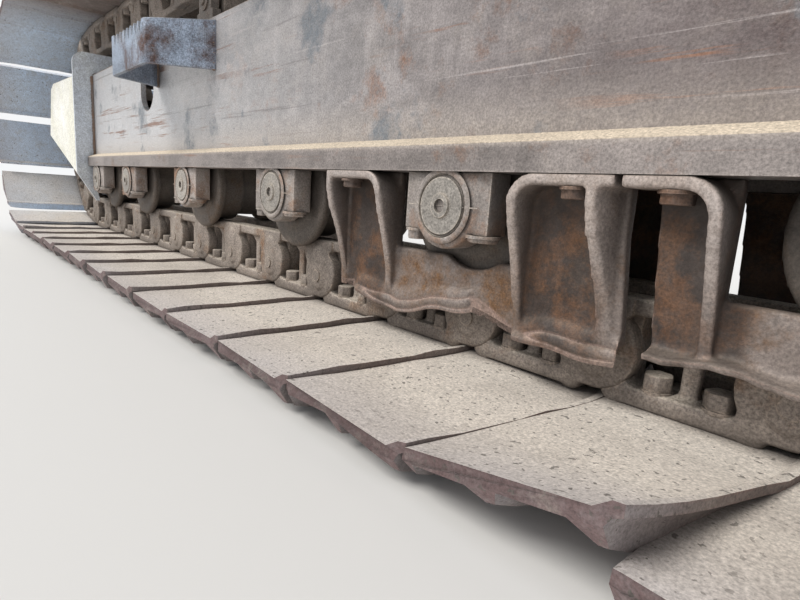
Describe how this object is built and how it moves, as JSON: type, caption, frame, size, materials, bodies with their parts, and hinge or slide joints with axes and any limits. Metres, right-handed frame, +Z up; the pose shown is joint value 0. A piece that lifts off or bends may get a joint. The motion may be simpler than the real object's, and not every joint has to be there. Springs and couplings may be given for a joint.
{
  "type": "crawler excavator track unit",
  "caption": "Left-hand crawler track unit of an excavator: beam with idler, drive, rollers, chain guards and step inside a closed track of triple-grouser shoes.",
  "frame": {"origin": "on the ground, midway between the idler's and the sprocket's axes, in the track's middle plane", "axes": "+X forwards to the idler, +Y to the outside of the machine, +Z up"},
  "size_m": [5.2989, 0.85, 0.9911],
  "materials": {
    "frame_steel": "worn paint over brown steel, dusty",
    "cast_steel": "dusty rough casting",
    "chain_steel": "worn, rubbed bright on the rails",
    "spring_steel": "dull and dirty",
    "shoe_steel": "rolled plate, worn smooth and dusty",
    "guard_steel": "rusted, with mud in the corners",
    "pale_paint": "faded pale yellow paint, scraped"
  },
  "bodies": {
    "frame": {"flange_outer": "frame_steel", "flange_inner": "frame_steel", "side_plate_outer": "frame_steel", "side_plate_inner": "frame_steel", "top_plate": "frame_steel", "floor_plate": "frame_steel", "mounting_pad_front": "frame_steel", "mounting_pad_rear": "frame_steel", "fork_outer": "frame_steel", "fork_inner": "frame_steel", "end_plate_outer": "frame_steel", "end_plate_inner": "frame_steel", "idler_cheek_outer": "pale_paint", "idler_cheek_inner": "pale_paint", "step": "frame_steel", "drive_bracket": "frame_steel", "motor_cover": "pale_paint", "final_drive_case": "cast_steel", "final_drive_hub": "cast_steel", "sprocket": "chain_steel", "idler_axle": "chain_steel", "bearing_block_outer": "cast_steel", "bearing_block_inner": "cast_steel", "idler_yoke": "chain_steel", "recoil_spring": "spring_steel", "carrier_roller_rear": "cast_steel", "carrier_roller_front": "cast_steel", "carrier_bracket_rear": "cast_steel", "carrier_bracket_front": "cast_steel", "guard_outer_1": "guard_steel", "guard_outer_2": "guard_steel", "guard_outer_3": "guard_steel", "guard_inner_1": "guard_steel", "guard_inner_2": "guard_steel", "guard_inner_3": "guard_steel", "track_shoes": "shoe_steel", "link_row_outer": "chain_steel", "link_row_inner": "chain_steel", "track_bushings": "chain_steel", "track_roller_1": "cast_steel", "track_roller_2": "cast_steel", "track_roller_3": "cast_steel", "track_roller_4": "cast_steel", "track_roller_5": "cast_steel", "track_roller_6": "cast_steel", "track_roller_7": "cast_steel", "track_roller_8": "cast_steel", "roller_mount_1": "cast_steel", "roller_mount_2": "cast_steel", "roller_mount_3": "cast_steel", "roller_mount_4": "cast_steel", "roller_mount_5": "cast_steel", "roller_mount_6": "cast_steel", "roller_mount_7": "cast_steel", "roller_mount_8": "cast_steel"},
    "idler": {"idler": "chain_steel"}
  },
  "joints": [
    {"name": "idler_spin", "type": "hinge", "parent": "frame", "child": "idler", "pos_m": [2.15987, 0, 0.49434], "axis": [0, 1, 0], "continuous": true}
  ]
}
